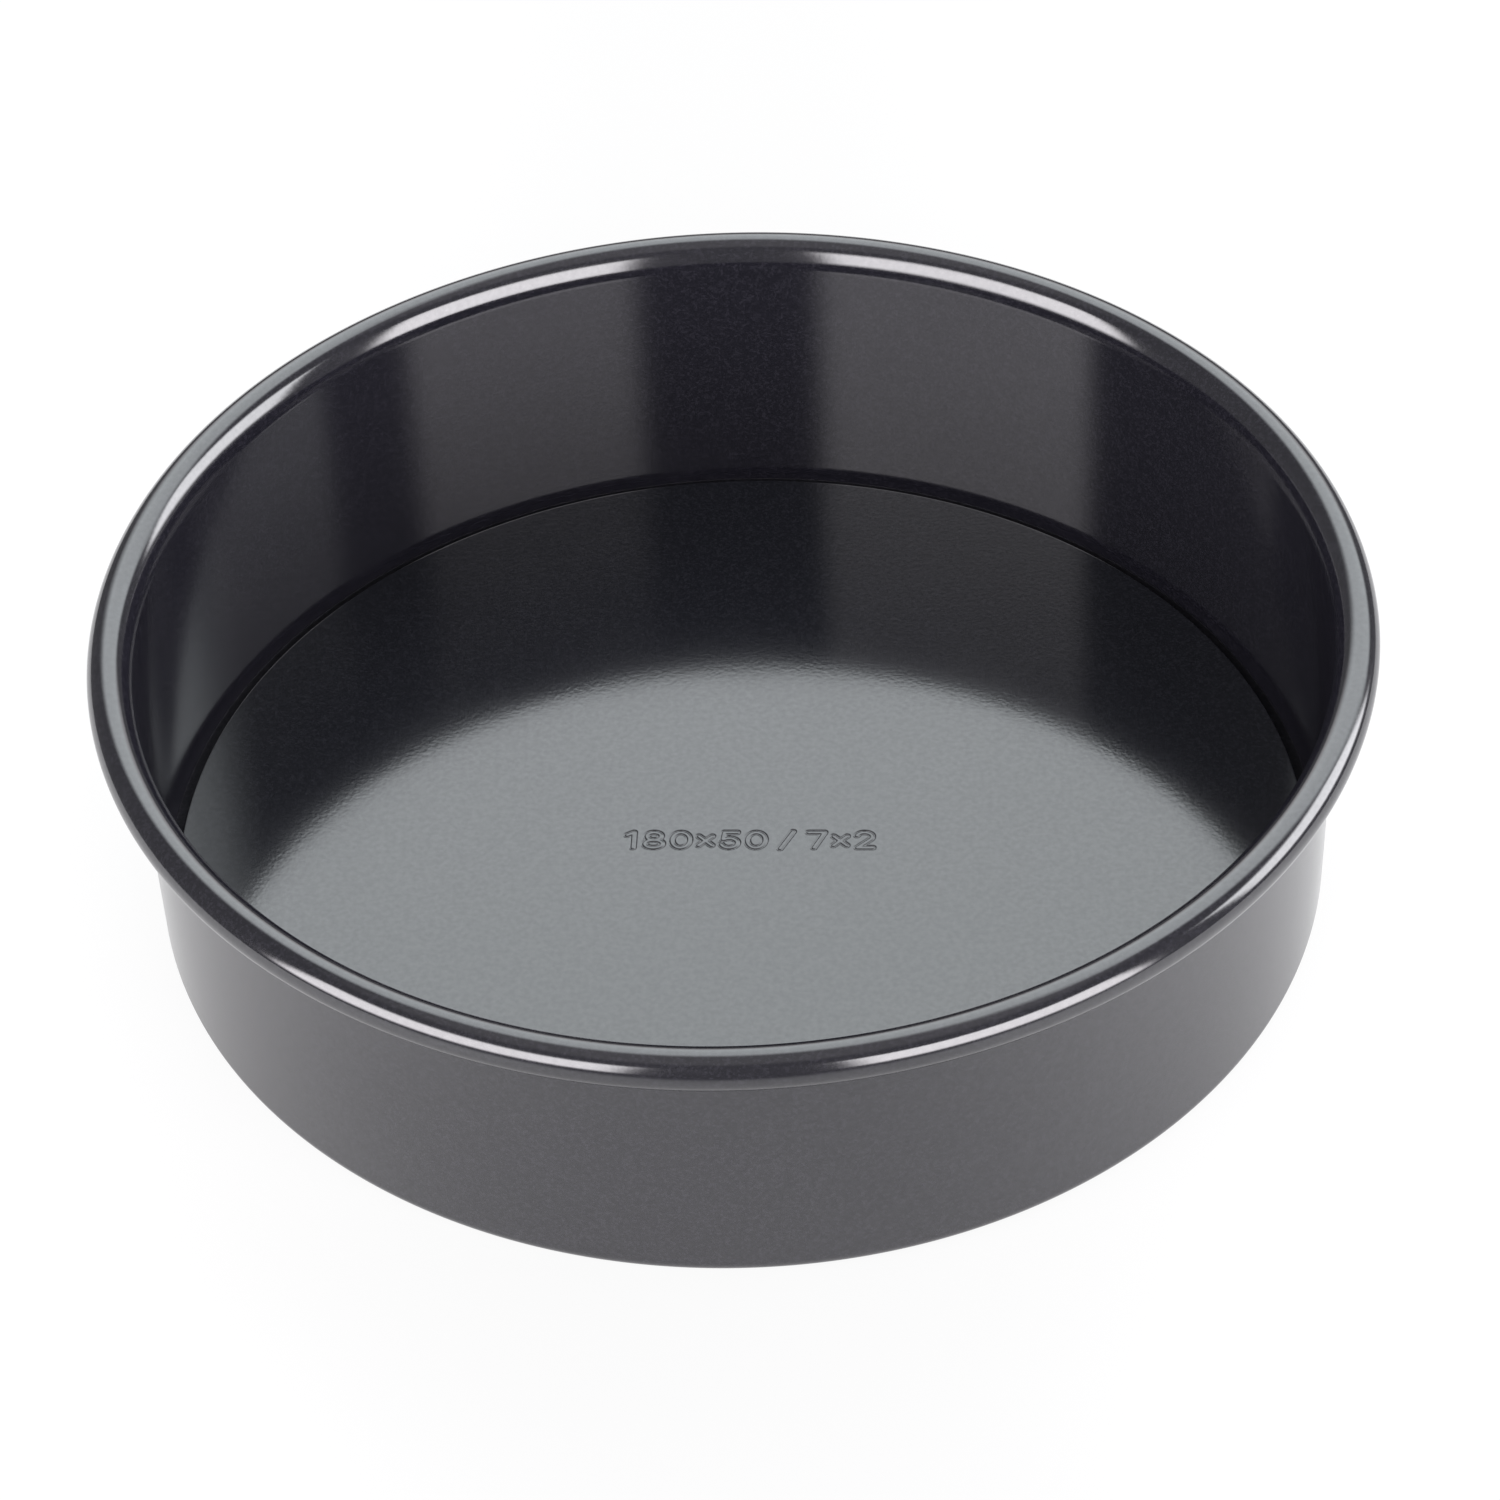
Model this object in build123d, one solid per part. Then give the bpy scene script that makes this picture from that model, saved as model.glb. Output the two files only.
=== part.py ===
from build123d import *
import os
from math import cos, radians, sin, tan

# A round cake tin with a loose base, in the nominal 18 cm size. It comes apart into two
# pieces of coated steel: a drawn ring, which is the side of the tin, and the flat base
# that drops into it and lies on its ledge.
#
# The origin is the middle of the plane that the tin stands on, and +Z is up. Lengths are
# in millimetres. Both pieces are turned about Z from a section in the XZ plane, where x
# is the distance from the tin's middle line.

# The ring
inner_radius = 90.0  # the nominal size: 180 mm across the inside, at the foot of the side wall
height = 49.2  # from the plane that it stands on to the top of the rim
sheet = 0.9  # thickness of the ring's steel, coating included
corner_radius = 1.5  # where the side turns in to the ledge, on the inside
ledge_width = 8.0  # from the foot of the side wall in to the edge of the hole
draft_angle = 1.0  # how far the side wall leans outward, degrees

# The rolled rim
rim_overhang = 7.5  # from the foot of the side wall, on the inside, out to the rim's widest line
curl_radius = 3.1  # outside radius of the curl's section
lean_angle = 40.0  # how far the side has leaned outward where the curl takes over, degrees
curl_turn = 180.0  # how far round the curl is rolled from there, as far as it shows, degrees
tuck_turn = 50.0  # how far it rolls on from there, under the rim, degrees

# The loose base
base_sheet = 1.1  # thickness of the base
edge_gap = 1.0  # from the foot of the side wall, on the inside, to the base's cut edge
lift_angle = 25.0  # how steeply the underside leaves the ledge, over the ring's corner, degrees
seat_clearance = 0.05  # from the end of the underside's flat to the start of that corner

# Each bend of the ring's section is made in equal steps. The faces that show are true
# arcs. The ones that lie under the base, behind the curl or up under the rim are flats.
corner_arc_count = 2
corner_flat_count = 2
lead_arc_count = 2
lead_flat_count = 1
curl_arc_count = 4
tuck_flat_count = 2
hollow_flat_count = 4


def at(middle, radius, angle):
    # A point on a circle of the section, at an angle in degrees from +x.
    return (
        middle[0] + radius * cos(radians(angle)),
        middle[1] + radius * sin(radians(angle)),
    )


def arcs(steps, middle, radius, start, turn):
    # A bend of the section as equal arcs.
    return [CenterArc(middle, radius, start + turn * i / steps, turn / steps) for i in range(steps)]


def flats(steps, middle, radius, start, turn):
    # The same bend as straight flats, with their ends on the circle.
    ends = [at(middle, radius, start + turn * i / steps) for i in range(steps + 1)]
    return [Line(a, b) for a, b in zip(ends, ends[1:])]


def turned(outline):
    # The solid that a closed outline in the section makes when it turns about Z.
    return revolve(Plane.XZ * make_face(outline), Axis.Z, 360, clean=False)


# Where the ring's bends have their middles
corner_middle = (inner_radius - corner_radius, sheet + corner_radius)
curl_middle = (inner_radius + rim_overhang - curl_radius, height - curl_radius)

# The side wall turns out into the curl on one larger arc. It touches the wall's line at one
# end and the curl at the lean angle at the other, and that fixes its radius.
curl_start = at(curl_middle, curl_radius, 180 - lean_angle)
wall_run = (curl_start[0] - corner_middle[0]) * cos(radians(draft_angle))
wall_rise = (curl_start[1] - corner_middle[1]) * sin(radians(draft_angle))
lead_radius = (wall_run - wall_rise - corner_radius) / (1 - cos(radians(lean_angle - draft_angle)))
lead_middle = at(curl_start, lead_radius, -lean_angle)


def corner(depth):
    # The bend from the ledge up into the side, at one depth under the ring's inside face.
    return corner_middle, corner_radius + depth, -90, 90 - draft_angle


def lead(depth):
    # The bend that carries the side outward.
    return lead_middle, lead_radius - depth, 180 - draft_angle, draft_angle - lean_angle


def curl(depth, start, turn):
    # The roll of the rim, from one angle after its start on through another.
    return curl_middle, curl_radius - depth, 180 - lean_angle - start, -turn


def wall(depth):
    # The straight of the side, between those two bends.
    return Line(
        at(corner_middle, corner_radius + depth, -draft_angle),
        at(lead_middle, lead_radius - depth, 180 - draft_angle),
    )


def tin_ring():
    # One sheet of even thickness. The curl is hollow, and its cut edge points in at the
    # side, under the rim, where it doesn't show from above.
    ledge_edge = inner_radius - ledge_width
    inside = [
        Line((ledge_edge, sheet), (corner_middle[0], sheet)),
        *flats(corner_flat_count, *corner(0)),
        wall(0),
        *arcs(lead_arc_count, *lead(0)),
        *arcs(curl_arc_count, *curl(0, 0, curl_turn)),
        *flats(tuck_flat_count, *curl(0, curl_turn, tuck_turn)),
    ]
    outside = [
        Line((ledge_edge, 0), (corner_middle[0], 0)),
        *arcs(corner_arc_count, *corner(sheet)),
        wall(sheet),
        *flats(lead_flat_count, *lead(sheet)),
        *flats(hollow_flat_count, *curl(sheet, 0, curl_turn + tuck_turn)),
    ]
    ends = [Line(outside[0] @ 0, inside[0] @ 0), Line(inside[-1] @ 1, outside[-1] @ 1)]
    return turned(inside + outside + ends)


def loose_base():
    # A flat blank. It covers the flat of the ledge and reaches out over the ring's corner,
    # which its underside clears on a slope.
    edge = inner_radius - edge_gap
    flat = corner_middle[0] - seat_clearance
    top = sheet + base_sheet
    lift = sheet + (edge - flat) * tan(radians(lift_angle))
    return turned(Polyline((0, sheet), (flat, sheet), (edge, lift), (edge, top), (0, top), close=True))


os.makedirs("parts", exist_ok=True)
for name, solid in {"tin_ring": tin_ring(), "loose_base": loose_base()}.items():
    export_step(solid, f"parts/{name}.step")
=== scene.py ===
from math import cos, pi, radians, sin, tan

import bmesh
import bpy
import numpy
from mathutils import Matrix, Vector


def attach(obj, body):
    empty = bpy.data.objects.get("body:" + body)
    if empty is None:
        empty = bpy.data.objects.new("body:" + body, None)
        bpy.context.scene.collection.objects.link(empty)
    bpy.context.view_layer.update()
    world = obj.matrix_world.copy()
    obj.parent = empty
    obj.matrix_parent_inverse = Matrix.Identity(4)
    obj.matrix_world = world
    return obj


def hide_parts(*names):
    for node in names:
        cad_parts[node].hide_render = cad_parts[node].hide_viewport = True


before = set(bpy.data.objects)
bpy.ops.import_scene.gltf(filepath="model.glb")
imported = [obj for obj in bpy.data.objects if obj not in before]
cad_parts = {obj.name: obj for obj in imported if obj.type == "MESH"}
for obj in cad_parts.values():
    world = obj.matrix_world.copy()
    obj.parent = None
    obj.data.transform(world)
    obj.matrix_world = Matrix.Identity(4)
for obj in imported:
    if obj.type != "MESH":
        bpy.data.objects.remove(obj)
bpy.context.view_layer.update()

# A round non-stick cake tin with a loose base, photographed from in front and above.
# The ring and the base are lathed anew and stand for the frame's two nodes. Their bends are
# finer, their cut edges are rounded, and the groove between them is a little wider and
# sharper, as it looks in the photograph. Sizes in the section dictionaries are in
# millimetres, and those in the coatings and the studio are in metres.

mm = 0.001
scene = bpy.context.scene


def around(middle, radius, angle):
    # A point of the section: x is the distance from the tin's middle line, z is up.
    return (middle[0] + radius * cos(radians(angle)), middle[1] + radius * sin(radians(angle)))


def bend(middle, radius, start, turn, step=6.0):
    count = max(2, round(abs(turn) / step))
    return [around(middle, radius, start + turn * i / count) for i in range(count + 1)]


def withoutDoubles(points, near=1e-6):
    kept = []
    for point in points:
        if not kept or (Vector(point) - Vector(kept[-1])).length > near:
            kept.append(point)
    return kept


def newObject(name, mesh, body, node, material):
    obj = bpy.data.objects.new(name, mesh)
    scene.collection.objects.link(obj)
    mesh.materials.append(material)
    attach(obj, body)
    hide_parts(node)
    return obj


def keepCreases(bm, angle):
    # Smooth all over, apart from the edges that are sharper than the angle.
    for face in bm.faces:
        face.smooth = True
    for edge in bm.edges:
        if len(edge.link_faces) == 2 and edge.calc_face_angle(0) > radians(angle):
            edge.smooth = False


def nodeOf(tree, kind, **values):
    node = tree.nodes.new(kind)
    for name, value in values.items():
        setattr(node, name, value)
    return node


def mathNode(tree, operation, *values):
    node = nodeOf(tree, "ShaderNodeMath", operation=operation)
    for i, value in enumerate(values):
        if isinstance(value, (int, float)):
            node.inputs[i].default_value = value
        else:
            tree.links.new(value, node.inputs[i])
    return node.outputs[0]


def stepNode(tree, value, low, high):
    node = nodeOf(tree, "ShaderNodeMapRange", interpolation_type="SMOOTHSTEP")
    tree.links.new(value, node.inputs["Value"])
    node.inputs["From Min"].default_value = low
    node.inputs["From Max"].default_value = high
    return node.outputs["Result"]


def noiseNode(tree, place, scale, detail):
    node = nodeOf(tree, "ShaderNodeTexNoise")
    node.inputs["Detail"].default_value = detail
    tree.links.new(place, node.inputs["Vector"])
    if isinstance(scale, (int, float)):
        node.inputs["Scale"].default_value = scale
    else:
        tree.links.new(scale, node.inputs["Scale"])
    return node.outputs["Fac"]


def rangeNode(tree, value, low, high, toLow=0, toHigh=1):
    node = nodeOf(tree, "ShaderNodeMapRange")
    tree.links.new(value, node.inputs["Value"])
    for name, number in (("From Min", low), ("From Max", high), ("To Min", toLow), ("To Max", toHigh)):
        node.inputs[name].default_value = number
    return node.outputs["Result"]


spray = {
    "cloudsPerMetre": 38,
    "cloudDetail": 3,
    "mottlesPerMetre": 1100,
    "mottleDetail": 1,
    "grainDetail": 2,
    "noiseRange": (0.3, 0.7),  # what the noise textures mostly keep to
}


def fleckGroup():
    # The coating's texture: pale metallic flecks, a cloudy unevenness, a mottle and the fine
    # grain that sprayed coatings have.
    group = bpy.data.node_groups.new("sprayedFleck", "ShaderNodeTree")
    face = group.interface
    for name, value in (("Fleck Size", 0.0003), ("Fleck Share", 0.2), ("Grain Size", 0.0006)):
        face.new_socket(name, in_out="INPUT", socket_type="NodeSocketFloat").default_value = value
    for name in ("Fleck", "Cloud", "Mottle", "Height"):
        face.new_socket(name, in_out="OUTPUT", socket_type="NodeSocketFloat")
    start = nodeOf(group, "NodeGroupInput")
    end = nodeOf(group, "NodeGroupOutput")
    place = nodeOf(group, "ShaderNodeTexCoord").outputs["Object"]

    # flecks: some of the cells of a fine mesh, paler by chance
    cells = nodeOf(group, "ShaderNodeTexVoronoi")
    group.links.new(place, cells.inputs["Vector"])
    group.links.new(mathNode(group, "DIVIDE", 1, start.outputs["Fleck Size"]), cells.inputs["Scale"])
    tone = nodeOf(group, "ShaderNodeSeparateColor")
    group.links.new(cells.outputs["Color"], tone.inputs[0])
    fleck = nodeOf(group, "ShaderNodeMapRange", interpolation_type="SMOOTHSTEP")
    group.links.new(tone.outputs["Red"], fleck.inputs["Value"])
    group.links.new(mathNode(group, "SUBTRACT", 1, start.outputs["Fleck Share"]), fleck.inputs["From Min"])
    group.links.new(fleck.outputs["Result"], end.inputs["Fleck"])

    cloud = noiseNode(group, place, spray["cloudsPerMetre"], spray["cloudDetail"])
    group.links.new(cloud, end.inputs["Cloud"])
    mottle = noiseNode(group, place, spray["mottlesPerMetre"], spray["mottleDetail"])
    group.links.new(rangeNode(group, mottle, *spray["noiseRange"]), end.inputs["Mottle"])
    perGrain = mathNode(group, "DIVIDE", 1, start.outputs["Grain Size"])
    group.links.new(noiseNode(group, place, perGrain, spray["grainDetail"]), end.inputs["Height"])
    return group


fleckNodes = fleckGroup()

ringCoating = {
    "name": "charcoalCoatingRing",
    "dark": (0.0088, 0.0085, 0.012, 1),
    "fleck": (0.0168, 0.0161, 0.0216, 1),
    "fleckSize": 0.00035,
    "fleckShare": 0.5,
    "grainSize": 0.0006,
    "grainHeight": 0.000003,
    "roughFrom": 0.10,
    "roughTo": 0.14,
    "metalFrom": 0.03,  # the flecks' share of bare metal, mottled
    "metalTo": 0.11,
    "ior": 1.86,
    "grooveRadius": (0.0884, 0.0887),  # from here out the ledge gets painted shade, as the dark foot of the groove
    "grooveLevel": (0.0013, 0.0011),  # and from here down
    "grooveFacing": (0.3, 0.6),  # and where it faces up, as the height of its normal
    # painted shade in the groove: the metal share that darkens its foot
    "grooveShadeMetal": 0.8,
    "grooveRough": 0.5,
}
baseCoating = {
    "name": "charcoalCoatingBase",
    "dark": (0.0087, 0.0094, 0.0128, 1),
    "fleck": (0.0167, 0.0174, 0.0225, 1),
    "fleckSize": 0.00035,
    "fleckShare": 0.5,
    "grainSize": 0.0007,
    "grainHeight": 0.000008,
    "roughFrom": 0.10,
    "roughTo": 0.13,
    "metalFrom": 0.05,
    "metalTo": 0.155,
    "ior": 1.86,
}


def paintedGrooveShade(tree, look):
    # The foot of the groove round the base: the part of the ledge's top that the base leaves
    # open. Painted shade: a larger metal share makes it dark and mirror little, as the groove's shade.
    place = nodeOf(tree, "ShaderNodeTexCoord")
    flat = nodeOf(tree, "ShaderNodeVectorMath", operation="MULTIPLY")
    flat.inputs[1].default_value = (1, 1, 0)
    tree.links.new(place.outputs["Object"], flat.inputs[0])
    radius = nodeOf(tree, "ShaderNodeVectorMath", operation="LENGTH")
    tree.links.new(flat.outputs[0], radius.inputs[0])
    split = nodeOf(tree, "ShaderNodeSeparateXYZ")
    tree.links.new(place.outputs["Object"], split.inputs[0])
    facing = nodeOf(tree, "ShaderNodeSeparateXYZ")
    tree.links.new(place.outputs["Normal"], facing.inputs[0])
    out = stepNode(tree, radius.outputs["Value"], *look["grooveRadius"])
    low = stepNode(tree, split.outputs["Z"], *look["grooveLevel"])
    up = stepNode(tree, facing.outputs["Z"], *look["grooveFacing"])
    return mathNode(tree, "MULTIPLY", mathNode(tree, "MULTIPLY", out, low), up)


def coating(look):
    # Sprayed non-stick coating: near black, glossy, with flecks that catch the light.
    material = bpy.data.materials.new(look["name"])
    material.use_nodes = True
    tree = material.node_tree
    shader = tree.nodes["Principled BSDF"]
    shader.inputs["IOR"].default_value = look["ior"]
    texture = nodeOf(tree, "ShaderNodeGroup", node_tree=fleckNodes)
    texture.inputs["Fleck Size"].default_value = look["fleckSize"]
    texture.inputs["Fleck Share"].default_value = look["fleckShare"]
    texture.inputs["Grain Size"].default_value = look["grainSize"]

    tint = nodeOf(tree, "ShaderNodeMix", data_type="RGBA")
    tint.inputs["A"].default_value = look["dark"]
    tint.inputs["B"].default_value = look["fleck"]
    tree.links.new(texture.outputs["Fleck"], tint.inputs["Factor"])
    tree.links.new(tint.outputs["Result"], shader.inputs["Base Color"])

    cloud = texture.outputs["Cloud"]
    shine = rangeNode(tree, cloud, *spray["noiseRange"], look["roughFrom"], look["roughTo"])
    share = rangeNode(tree, texture.outputs["Mottle"], 0, 1, look["metalFrom"], look["metalTo"])
    # painted shade at the foot of the groove: more metal share and roughness darken it
    if "grooveShadeMetal" in look:
        groove = paintedGrooveShade(tree, look)
        shine = mathNode(tree, "MULTIPLY_ADD", groove, look["grooveRough"], shine)
        share = mathNode(tree, "MULTIPLY_ADD", groove, look["grooveShadeMetal"], share)
    tree.links.new(shine, shader.inputs["Roughness"])
    tree.links.new(share, shader.inputs["Metallic"])

    bump = nodeOf(tree, "ShaderNodeBump")
    bump.inputs["Strength"].default_value = 1
    bump.inputs["Distance"].default_value = look["grainHeight"]
    tree.links.new(texture.outputs["Height"], bump.inputs["Height"])
    tree.links.new(bump.outputs["Normal"], shader.inputs["Normal"])
    return material


ringMaterial = coating(ringCoating)
baseMaterial = coating(baseCoating)
print("stage: coatings made")


# The ring, with its side, ledge and rolled rim
ringSizes = {
    "innerRadius": 90.0,
    "height": 49.2,
    "sheet": 0.9,
    "cornerRadius": 1.5,
    "grooveRadius": 90.4,  # the inside face just above the ledge, beside the base's edge
    "grooveCorner": 0.12,
    "ledgeWidth": 8.0,
    "rimOverhang": 7.5,
    "curlRadius": 3.1,
    "draft": 1.0,  # how far the side wall leans out, degrees
    "leanAngle": 40.0,
    "curlTurn": 230.0,
    "edgeTurn": 3.0,  # the last of that turn, which the rounded cut edge takes up
    "cutEdge": 0.18,  # rounding of the cut edges
    # shares of the wall's height: the close rows at its ends keep it straight in the light
    "wallRows": (0.003, 0.2, 0.4, 0.6, 0.8, 0.997),
    "segments": 512,
    "crease": 40,  # edges sharper than this stay sharp, degrees
}


def ringSection(s):
    # One closed run of points: along the inside face of the sheet from the ledge to the end
    # of the curl, and back along the outside face. The two cut edges are rounded.
    inner, sheet, lean, draft = s["innerRadius"], s["sheet"], s["leanAngle"], s["draft"]
    corner = s["cornerRadius"]
    cornerMiddle = (inner - corner, sheet + corner)
    curlMiddle = (inner + s["rimOverhang"] - s["curlRadius"], s["height"] - s["curlRadius"])
    curlStart = around(curlMiddle, s["curlRadius"], 180 - lean)
    run, rise = curlStart[0] - cornerMiddle[0], curlStart[1] - cornerMiddle[1]
    leadRadius = run * cos(radians(draft)) - rise * sin(radians(draft)) - corner
    leadRadius /= 1 - cos(radians(lean - draft))
    leadMiddle = around(curlStart, leadRadius, -lean)

    def face(depth):
        points = [(inner - s["ledgeWidth"] + s["cutEdge"], sheet - depth)]
        if depth:
            points += bend(cornerMiddle, corner + depth, -90, 90 - draft)
        else:
            groove = s["grooveCorner"]
            points += bend((s["grooveRadius"] - groove, sheet + groove), groove, -90, 90, 22.5)
        low, high = points[-1], around(leadMiddle, leadRadius - depth, 180 - draft)
        points += [(low[0] + (high[0] - low[0]) * share, low[1] + (high[1] - low[1]) * share)
                   for share in s["wallRows"]]
        points += bend(leadMiddle, leadRadius - depth, 180 - draft, draft - lean, 3)
        points += bend(curlMiddle, s["curlRadius"] - depth, 180 - lean, -s["curlTurn"] + s["edgeTurn"], 4)
        return points

    inside, outside = face(0), face(sheet)
    # the rounded cut edges, as quarter turns at each corner
    r = s["cutEdge"]
    ledge = inner - s["ledgeWidth"]
    ledgeEdge = bend((ledge + r, r), r, 270, -90, 22.5) + bend((ledge + r, sheet - r), r, 180, -90, 22.5)
    end = 180 - lean - s["curlTurn"]
    along = Vector((sin(radians(end)), -cos(radians(end))))  # the way the sheet runs at its end
    across = Vector((cos(radians(end)), sin(radians(end))))
    tip = Vector(curlMiddle)
    curlEdge = []
    for radius, start in ((s["curlRadius"] - r, 0), (s["curlRadius"] - sheet + r, 90)):
        centre = tip + across * radius - along * r
        for i in range(5):
            turn = radians(start + 90 * i / 4)
            curlEdge.append(tuple(centre + along * r * sin(turn) + across * r * cos(turn)))
    section = inside + curlEdge + outside[::-1] + ledgeEdge
    return withoutDoubles([(x * mm, z * mm) for x, z in section], 2e-6)


def lathe(section, segments, closed):
    bm = bmesh.new()
    rings = []
    for x, z in section:
        if abs(x) < 1e-9:
            rings.append([bm.verts.new((0, 0, z))])
        else:
            turns = [2 * pi * i / segments for i in range(segments)]
            rings.append([bm.verts.new((x * cos(turn), x * sin(turn), z)) for turn in turns])
    pairs = list(zip(rings, rings[1:]))
    if closed:
        pairs.append((rings[-1], rings[0]))
    for low, high in pairs:
        for i in range(segments):
            j = (i + 1) % segments
            if len(low) == 1:
                corners = [low[0], high[j], high[i]]
            elif len(high) == 1:
                corners = [low[i], low[j], high[0]]
            else:
                corners = [low[i], low[j], high[j], high[i]]
            bm.faces.new(corners)
    return bm


def finishMesh(bm, name, crease):
    bmesh.ops.recalc_face_normals(bm, faces=bm.faces)
    keepCreases(bm, crease)
    mesh = bpy.data.meshes.new(name)
    bm.to_mesh(mesh)
    bm.free()
    return mesh


ringTurned = lathe(ringSection(ringSizes), ringSizes["segments"], True)
ringMesh = finishMesh(ringTurned, "ringShell", ringSizes["crease"])
ringShell = newObject("ringShell", ringMesh, "ring", "tin_ring", ringMaterial)
print("stage: ring lathed,", len(ringShell.data.polygons), "faces")


# The loose base, with plain figures pressed into its middle
baseSizes = {
    "radius": 88.6,
    "flatRadius": 88.2,  # where the underside leaves the ledge
    "liftAngle": 25.0,  # and how steeply, over the ring's corner
    "sheet": 1.1,
    "level": 0.9,  # the top of the ledge that it lies on
    "cutEdge": 0.2,  # rounding of the top edge
    "segments": 512,
    "crease": 35,
}
sizeMark = {
    "middle": (1.2, -1.5),  # on the base, in millimetres
    "turn": -3.9,
    "figures": "180x50 / 7x2",  # plain sizes: millimetres and inches
    "tall": 3.5,
    "gap": 1.45,
    "space": 1.0,
    "groove": 0.26,  # half width of the pressed line
    "deep": 0.10,
    "outline": 0.42,  # how far the pressed line runs from the middle of each stroke
    "cell": 0.1,
    "margin": 1.6,
}


def baseSection(s):
    edge, low, top, r = s["radius"], s["level"], s["level"] + s["sheet"], s["cutEdge"]
    lift = low + (edge - s["flatRadius"]) * tan(radians(s["liftAngle"]))
    section = [(0, low), (edge * 0.5, low), (s["flatRadius"], low), (edge, lift)]
    section += bend((edge - r, top - r), r, 0, 90, 15) + [(edge - 2 * r, top)]
    return withoutDoubles([(x * mm, z * mm) for x, z in section], 2e-6)


# The pressed figures are drawn by strokes, in a box that is 1 high and as wide as named.
def oval(x, y, wide, tall, start=0, turn=360):
    count = max(4, round(abs(turn) / 15))
    turns = [radians(start + turn * i / count) for i in range(count + 1)]
    return [(x + wide * cos(t), y + tall * sin(t)) for t in turns]


figures = {
    "0": (0.80, [oval(0.40, 0.50, 0.40, 0.50)]),
    "1": (0.40, [[(0.0, 0.82), (0.30, 1.0), (0.30, 0.0)]]),
    "2": (0.75, [oval(0.37, 0.72, 0.35, 0.28, 165, -195) + [(0.06, 0.0), (0.75, 0.0)]]),
    "5": (0.75, [[(0.70, 1.0), (0.12, 1.0), (0.07, 0.55)] + oval(0.36, 0.31, 0.37, 0.31, 125, -290)]),
    "7": (0.72, [[(0.0, 1.0), (0.72, 1.0), (0.26, 0.0)]]),
    "8": (0.80, [oval(0.40, 0.75, 0.32, 0.25), oval(0.40, 0.25, 0.40, 0.25)]),
    "/": (0.55, [[(0.0, -0.05), (0.55, 1.05)]]),
    "x": (0.60, [[(0.0, 0.15), (0.60, 0.75)], [(0.0, 0.75), (0.60, 0.15)]]),
}


def markStrokes(s):
    strokes, x = [], 0.0
    for sign in s["figures"]:
        if sign == " ":
            x += s["space"]
            continue
        width, lines = figures[sign]
        for line in lines:
            strokes.append([(x + px * s["tall"], (py - 0.5) * s["tall"]) for px, py in line])
        x += width * s["tall"] + s["gap"]
    total = x - s["gap"]
    return [[(px - total / 2, py) for px, py in line] for line in strokes], total


def distances(pointsX, pointsY, strokes):
    # from every point of a grid to the nearest stroke
    best = numpy.full(pointsX.shape, 1e9)
    for line in strokes:
        for (ax, ay), (bx, by) in zip(line, line[1:]):
            dx, dy = bx - ax, by - ay
            share = ((pointsX - ax) * dx + (pointsY - ay) * dy) / max(dx * dx + dy * dy, 1e-12)
            share = numpy.clip(share, 0, 1)
            best = numpy.minimum(best, numpy.hypot(pointsX - ax - dx * share, pointsY - ay - dy * share))
    return best


def addBaseTop(bm, s, mark):
    # A fine patch of the base's top with the figures pressed into it. Its border goes back,
    # to be joined to the rim.
    top = (s["level"] + s["sheet"]) * mm
    strokes, total = markStrokes(mark)
    wide, tall = total / 2 + mark["margin"], mark["tall"] / 2 + mark["margin"]
    countX, countY = round(2 * wide / mark["cell"]), round(2 * tall / mark["cell"])
    alongX, alongY = numpy.linspace(-wide, wide, countX + 1), numpy.linspace(-tall, tall, countY + 1)
    pointsX, pointsY = numpy.meshgrid(alongX, alongY)
    off = abs(distances(pointsX, pointsY, strokes) - mark["outline"])
    share = numpy.clip(1 - off / mark["groove"], 0, 1)
    depth = mark["deep"] * share * share * (3 - 2 * share)
    turn = radians(mark["turn"])
    placeX = mark["middle"][0] + pointsX * cos(turn) - pointsY * sin(turn)
    placeY = mark["middle"][1] + pointsX * sin(turn) + pointsY * cos(turn)
    grid = []
    for rowX, rowY, rowDepth in zip(placeX, placeY, depth):
        grid.append([bm.verts.new((float(x) * mm, float(y) * mm, top - float(d) * mm))
                     for x, y, d in zip(rowX, rowY, rowDepth)])
    for low, high in zip(grid, grid[1:]):
        for a, b, c, d in zip(low, low[1:], high[1:], high):
            bm.faces.new((a, b, c, d))
    border = grid[0] + [row[-1] for row in grid[1:]] + grid[-1][-2::-1] + [row[0] for row in grid[-2:0:-1]]
    edges = []
    for a, b in zip(border, border[1:] + border[:1]):
        edges.append(bm.edges.get((a, b)) or bm.edges.new((a, b)))
    return edges


def looseBase(s, mark):
    bm = lathe(baseSection(s), s["segments"], False)
    loop = [e for e in bm.edges if e.is_boundary]
    inner = addBaseTop(bm, s, mark)
    filled = bmesh.ops.triangle_fill(bm, edges=loop + inner, use_beauty=True)
    print("stage: base top filled,", len(filled["geom"]), "pieces")
    return finishMesh(bm, "baseBlank", s["crease"])


baseMesh = looseBase(baseSizes, sizeMark)
baseBlank = newObject("baseBlank", baseMesh, "base", "loose_base", baseMaterial)
print("stage: base made,", len(baseBlank.data.polygons), "faces")


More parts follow.
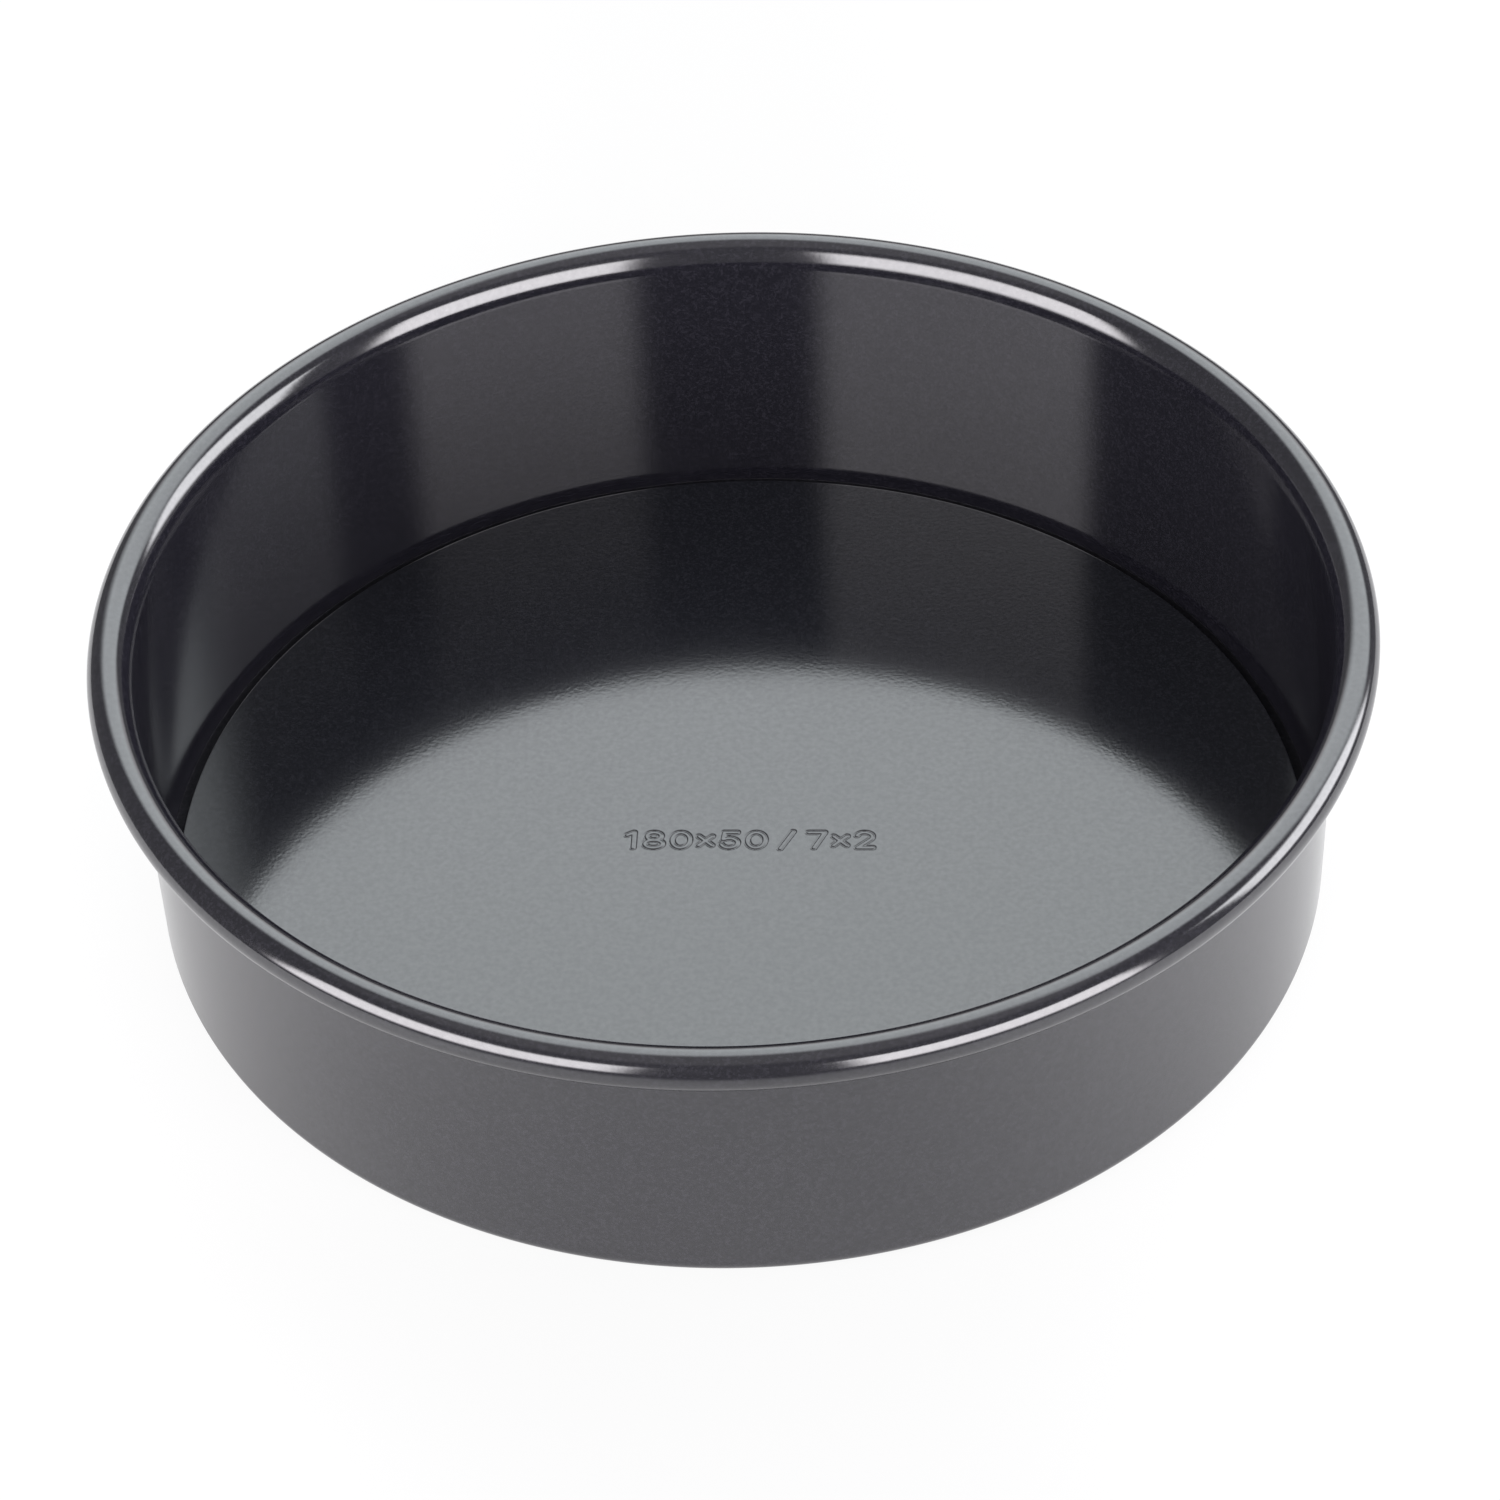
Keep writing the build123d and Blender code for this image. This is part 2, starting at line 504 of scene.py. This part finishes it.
# Floor, light and camera
studio = {
    "floorSize": 0.9,
    "floorSunk": 0.00005,  # so that it doesn't share a plane with the ring's underside
    "floorRough": 0.9,
    "floorSpecular": 0.1,
    "floorTone": 0.55,
    "paintedLightToneBeside": 1.0,  # painted light: the floor's colour is paler to the left and right of the tin
    "floorBeside": (0.015, 0.125),  # where that begins and is reached, from the middle
    "paintedShadeInFront": (-0.33, -0.12),  # painted shade: in front of the tin the floor's colour darkens between these
    "paintedShadeLevel": 0.15,
    "floorWhite": 0.9,  # how far the floor looks plain white to the camera
    "floorWhiteInMetal": 0.54,
    "ambient": 0.22,
    "panels": [
        # name, azimuth from and to, elevation from and to, softness of the sides, of the
        # lower and of the upper edge, strength, colour
        ("backdrop", 37, 111.5, 22, 66, 12, 5, 9, 2.7, (0.92, 0.975, 1.0)),
        ("farFloor", 60, 112, 13, 22, 6, 3, 5, 1.45, (1.0, 0.98, 1.0)),
        ("frontLeft", 193, 249.8, 4, 39.2, 3, 6, 5, 7.6, (1.0, 0.97, 1.0)),
        ("frontRight", 286, 333, 1, 37.1, 3, 6, 3, 7.9, (1.0, 0.97, 1.0)),
        ("backRight", -6, 33, 7, 36, 3, 4, 4, 7.0, (0.97, 0.97, 1.0)),
        ("ceiling", -180, 180, 62, 110, 5, 8, 8, 0.3, (1.0, 0.97, 1.0)),
    ],
}


def makeWorld(s):
    # A dark studio with soft lit panels round it: the pale backdrop behind the tin, two large
    # softboxes in front of it and one beside it. The camera itself sees plain white.
    world = bpy.data.worlds.new("softStudio")
    scene.world = world
    world.use_nodes = True
    tree = world.node_tree
    tree.nodes.clear()
    place = nodeOf(tree, "ShaderNodeTexCoord")
    split = nodeOf(tree, "ShaderNodeSeparateXYZ")
    tree.links.new(place.outputs["Generated"], split.inputs[0])
    azimuth = mathNode(tree, "ARCTAN2", split.outputs["Y"], split.outputs["X"])
    height = mathNode(tree, "ARCSINE", split.outputs["Z"])
    total = None
    for name, left, right, low, high, soft, softLow, softHigh, strength, color in s["panels"]:
        away = mathNode(tree, "SUBTRACT", azimuth, radians((left + right) / 2))
        away = mathNode(tree, "ABSOLUTE", mathNode(tree, "WRAP", away, pi, -pi))
        half = (right - left) / 2
        side = stepNode(tree, away, radians(half + soft), radians(half - soft))
        rise = stepNode(tree, height, radians(low - softLow), radians(low + softLow))
        fall = stepNode(tree, height, radians(high + softHigh), radians(high - softHigh))
        mask = mathNode(tree, "MULTIPLY", mathNode(tree, "MULTIPLY", side, rise), fall)
        level = mathNode(tree, "MULTIPLY", mask, strength)
        lit = nodeOf(tree, "ShaderNodeVectorMath", operation="SCALE")
        lit.inputs[0].default_value = color
        tree.links.new(level, lit.inputs["Scale"])
        if total is None:
            total = lit.outputs[0]
        else:
            both = nodeOf(tree, "ShaderNodeVectorMath", operation="ADD")
            tree.links.new(total, both.inputs[0])
            tree.links.new(lit.outputs[0], both.inputs[1])
            total = both.outputs[0]
    dim = nodeOf(tree, "ShaderNodeVectorMath", operation="ADD")
    tree.links.new(total, dim.inputs[0])
    dim.inputs[1].default_value = (s["ambient"],) * 3
    room = nodeOf(tree, "ShaderNodeBackground")
    tree.links.new(dim.outputs[0], room.inputs["Color"])
    white = nodeOf(tree, "ShaderNodeBackground")
    white.inputs["Color"].default_value = (1, 1, 1, 1)
    path = nodeOf(tree, "ShaderNodeLightPath")
    mix = nodeOf(tree, "ShaderNodeMixShader")
    tree.links.new(path.outputs["Is Camera Ray"], mix.inputs["Fac"])
    tree.links.new(room.outputs[0], mix.inputs[1])
    tree.links.new(white.outputs[0], mix.inputs[2])
    end = nodeOf(tree, "ShaderNodeOutputWorld")
    tree.links.new(mix.outputs[0], end.inputs["Surface"])


def makeFloor(s):
    mesh = bpy.data.meshes.new("paleFloor")
    half = s["floorSize"] / 2
    corners = [(-half, -half, 0), (half, -half, 0), (half, half, 0), (-half, half, 0)]
    mesh.from_pydata(corners, [], [(0, 1, 2, 3)])
    floor = bpy.data.objects.new("paleFloor", mesh)
    floor.location.z = -s["floorSunk"]
    scene.collection.objects.link(floor)
    material = bpy.data.materials.new("paleFloor")
    material.use_nodes = True
    tree = material.node_tree
    shader = tree.nodes["Principled BSDF"]
    place = nodeOf(tree, "ShaderNodeTexCoord")
    split = nodeOf(tree, "ShaderNodeSeparateXYZ")
    tree.links.new(place.outputs["Object"], split.inputs[0])
    # Painted light and shade on the floor: its colour is paler beside the tin and darker in front of it.
    lit = stepNode(tree, split.outputs["Y"], *s["paintedShadeInFront"])
    lit = mathNode(tree, "MULTIPLY_ADD", lit, 1 - s["paintedShadeLevel"], s["paintedShadeLevel"])
    beside = stepNode(tree, mathNode(tree, "ABSOLUTE", split.outputs["X"]), *s["floorBeside"])
    tone = mathNode(tree, "MULTIPLY_ADD", beside, s["paintedLightToneBeside"] - s["floorTone"], s["floorTone"])
    tree.links.new(mathNode(tree, "MULTIPLY", tone, lit), shader.inputs["Base Color"])
    shader.inputs["Roughness"].default_value = s["floorRough"]
    shader.inputs["Specular IOR Level"].default_value = s["floorSpecular"]
    glow = nodeOf(tree, "ShaderNodeEmission")
    glow.inputs["Color"].default_value = (1, 1, 1, 1)
    glow.inputs["Strength"].default_value = 1
    path = nodeOf(tree, "ShaderNodeLightPath")
    inMetal = mathNode(tree, "MAXIMUM", path.outputs["Is Glossy Ray"], path.outputs["Is Transmission Ray"])
    # the floor's white, as the metal sees it, takes the same painted shade in front
    inMetal = mathNode(tree, "MULTIPLY", inMetal, mathNode(tree, "MULTIPLY", lit, s["floorWhiteInMetal"]))
    share = mathNode(tree, "MULTIPLY_ADD", path.outputs["Is Camera Ray"], s["floorWhite"], inMetal)
    mix = nodeOf(tree, "ShaderNodeMixShader")
    tree.links.new(share, mix.inputs["Fac"])
    tree.links.new(shader.outputs[0], mix.inputs[1])
    tree.links.new(glow.outputs[0], mix.inputs[2])
    end = tree.nodes["Material Output"]
    tree.links.new(mix.outputs[0], end.inputs["Surface"])
    mesh.materials.append(material)


photoView = {
    "sensor": 36,
    "lens": 116.38,
    "place": (0.0, -0.558876, 0.522558),
    "aim": (0.001876, -0.005499, 0.0246),
    "roll": -2.516,
    "clipStart": 0.01,
}


def makeCamera(s):
    data = bpy.data.cameras.new("photoCamera")
    data.sensor_width = s["sensor"]
    data.lens = s["lens"]
    data.clip_start = s["clipStart"]
    camera = bpy.data.objects.new("photoCamera", data)
    scene.collection.objects.link(camera)
    ahead = (Vector(s["aim"]) - Vector(s["place"])).normalized()
    camera.rotation_mode = "QUATERNION"
    level = ahead.to_track_quat("-Z", "Y").to_matrix()
    turn = Matrix.Rotation(radians(s["roll"]), 3, -ahead)
    camera.rotation_quaternion = (turn @ level).to_quaternion()
    camera.location = s["place"]
    scene.camera = camera


makeWorld(studio)
makeFloor(studio)
makeCamera(photoView)
scene.view_settings.view_transform = "Standard"
print("stage: studio and camera ready")
